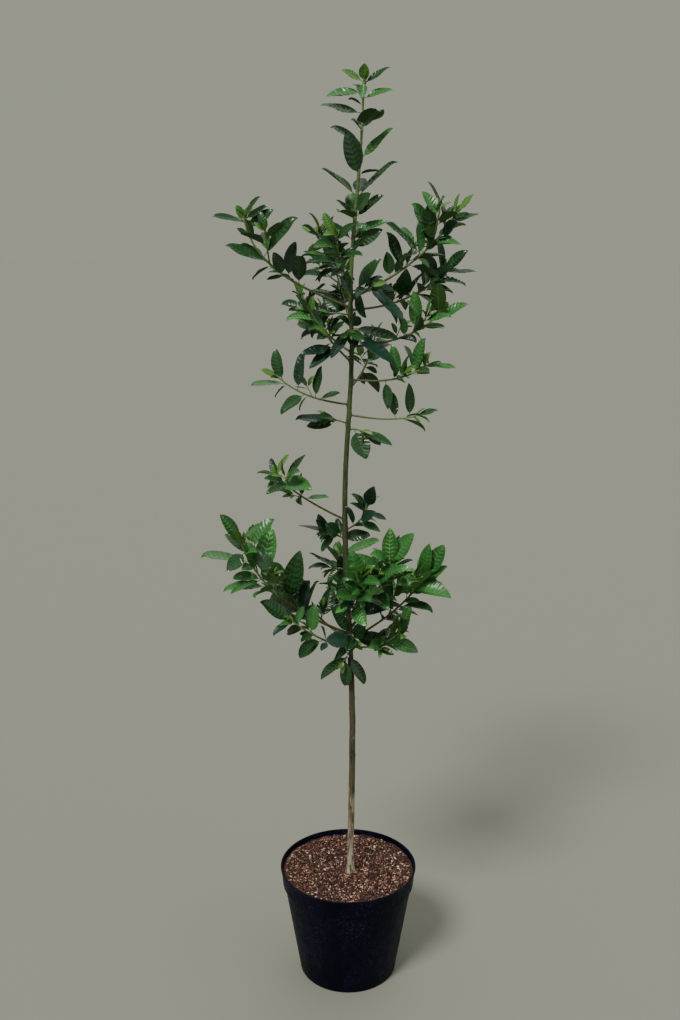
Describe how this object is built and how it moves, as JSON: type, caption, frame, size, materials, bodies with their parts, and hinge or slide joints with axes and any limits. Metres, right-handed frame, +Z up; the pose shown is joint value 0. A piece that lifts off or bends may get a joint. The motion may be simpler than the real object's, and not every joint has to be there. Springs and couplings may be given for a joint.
{
  "type": "potted holly tree",
  "caption": "Young holly tree in a black nursery pot: slender leaning trunk, bare foot and waist, tiers of side shoots with glossy folded leaves, and a leafy leader.",
  "frame": {"origin": "centre of the pot's flat underside", "axes": "+Z up the trunk, +X to the right and -Y to the front, the side that the plant is seen from"},
  "size_m": [0.5209, 0.3562, 1.7894],
  "materials": {
    "pot_plastic": "moulded black polypropylene, satin with a little dust",
    "bark_compost": "moist composted bark chips and fibre",
    "bark": "thin grey-beige bark, mottled brown higher up, turning olive green",
    "shoot_bark": "smooth green shoot bark, browner at its root",
    "old_leaf": "glossy dark green leaf",
    "waxy_leaf": "waxy leaf that mirrors the sky, blue green",
    "green_leaf": "glossy mid green leaf",
    "fresh_leaf": "glossy fresh green leaf, yellower at shoot tips"
  },
  "bodies": {
    "root": {"pot": "pot_plastic", "soil": "bark_compost", "trunk": "bark", "bough_high_left": "shoot_bark", "leaves_high_left": "old_leaf", "leaves_high_left_inner": "green_leaf", "bough_high_right": "shoot_bark", "leaves_high_right": "old_leaf", "bough_high_right_back": "shoot_bark", "leaves_high_right_back": "old_leaf", "leaves_high_right_inner": "waxy_leaf", "bough_high_front": "shoot_bark", "leaves_high_front": "old_leaf", "bough_high_back": "shoot_bark", "leaves_high_back": "old_leaf", "bough_mid_right": "shoot_bark", "leaves_mid_right": "green_leaf", "bough_mid_left": "shoot_bark", "leaves_mid_left": "green_leaf", "leaves_mid_front_spur": "waxy_leaf", "leaves_mid_left_spur": "old_leaf", "bough_mid_back_left": "shoot_bark", "leaves_mid_back_left": "old_leaf", "bough_waist_right": "shoot_bark", "leaves_waist_right": "green_leaf", "bough_waist_back": "shoot_bark", "leaves_waist_back": "old_leaf", "bough_waist_left": "shoot_bark", "leaves_waist_left": "old_leaf", "bough_waist_right_low": "shoot_bark", "leaves_waist_right_low": "old_leaf", "leaves_waist_spur": "waxy_leaf", "leaves_waist_left_spur": "old_leaf", "bough_low_left": "shoot_bark", "leaves_low_left": "green_leaf", "leaves_low_right": "waxy_leaf", "leaves_low_spur": "old_leaf", "bough_base_left": "shoot_bark", "leaves_base_left": "green_leaf", "bough_base_left_low": "shoot_bark", "leaves_base_left_low": "old_leaf", "bough_base_right_upright": "shoot_bark", "leaves_base_right_upright": "fresh_leaf", "bough_base_right": "shoot_bark", "leaves_base_right": "fresh_leaf", "bough_base_front": "shoot_bark", "leaves_base_front": "fresh_leaf", "bough_base_right_front": "shoot_bark", "leaves_base_right_front": "green_leaf", "bough_base_back": "shoot_bark", "leaves_base_back": "old_leaf", "bough_base_back_left": "shoot_bark", "leaves_base_back_left": "old_leaf", "bough_base_back_right": "shoot_bark", "leaves_base_back_right": "green_leaf", "leaves_base_spur": "old_leaf", "leaves_base_front_spur": "old_leaf", "leaves_low_left_spur": "old_leaf", "leaves_leader": "green_leaf"}
  },
  "joints": []
}
